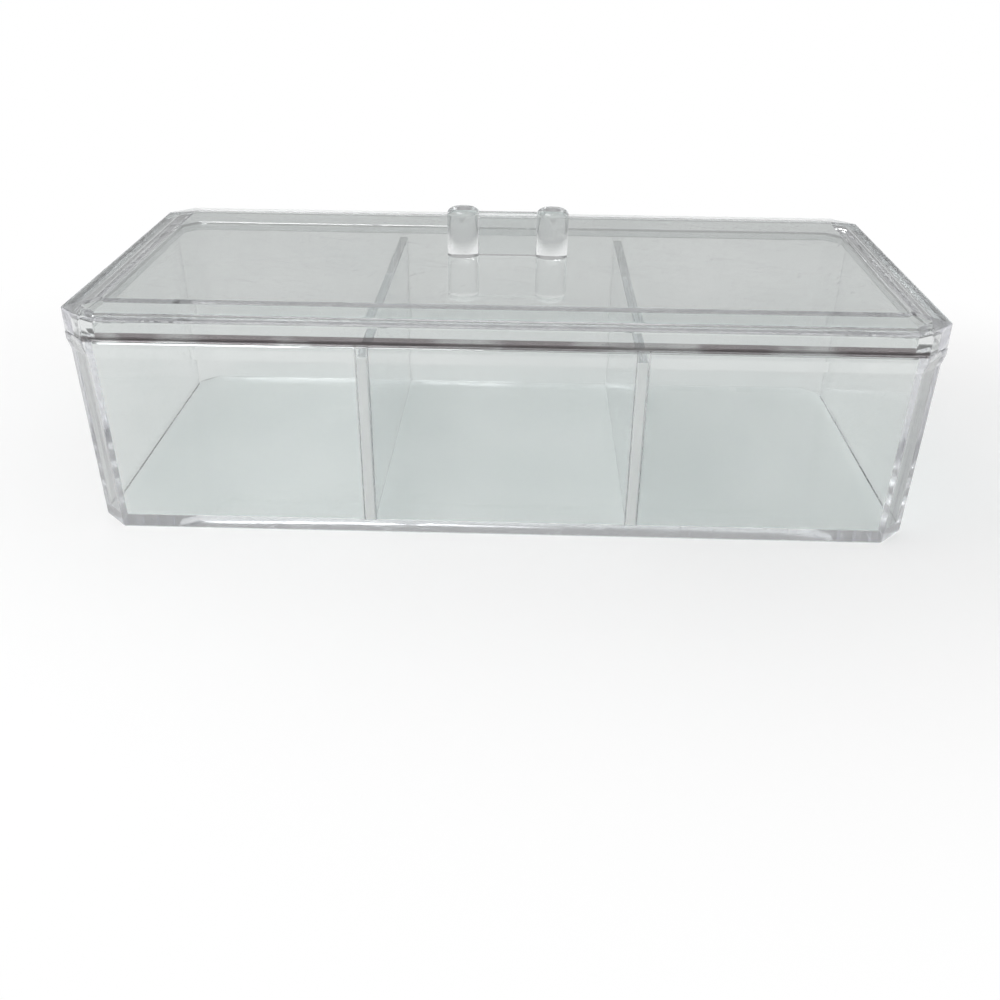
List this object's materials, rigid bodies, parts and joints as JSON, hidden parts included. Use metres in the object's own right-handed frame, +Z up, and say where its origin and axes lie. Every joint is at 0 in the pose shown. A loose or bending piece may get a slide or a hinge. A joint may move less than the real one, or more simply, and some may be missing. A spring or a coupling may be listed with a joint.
{
  "type": "cosmetic organizer box",
  "caption": "Clear rectangular box with cut corners and a flared rim, a bevelled lift-off lid with a post-and-web grip, and slot-in dividers that part it into compartments.",
  "frame": {"origin": "middle of the tray's underside", "axes": "+X along the long side, to the right as seen from the front; +Y to the back; +Z up"},
  "size_m": [0.24, 0.116, 0.0817],
  "materials": {
    "clear_tray": "clear, polished",
    "clear_lid": "clear, polished",
    "clear_handle": "clear, polished",
    "clear_divider": "clear, polished"
  },
  "bodies": {
    "tray": {"tray": "clear_tray"},
    "divider_left": {"divider_left": "clear_divider"},
    "divider_right": {"divider_right": "clear_divider"},
    "lid": {"lid": "clear_lid", "handle": "clear_handle"}
  },
  "joints": [
    {"name": "divider_left_lift", "type": "slide", "parent": "tray", "child": "divider_left", "axis": [0, 0, 1], "range_m": [0, 0.06]},
    {"name": "divider_right_lift", "type": "slide", "parent": "tray", "child": "divider_right", "axis": [0, 0, 1], "range_m": [0, 0.06]},
    {"name": "lid_lift", "type": "slide", "parent": "divider_left", "child": "lid", "axis": [0, 0, 1], "range_m": [0, 0.08]}
  ],
  "couplings": [
    {"joint": "divider_right_lift", "follows": "divider_left_lift", "ratio": 1}
  ]
}
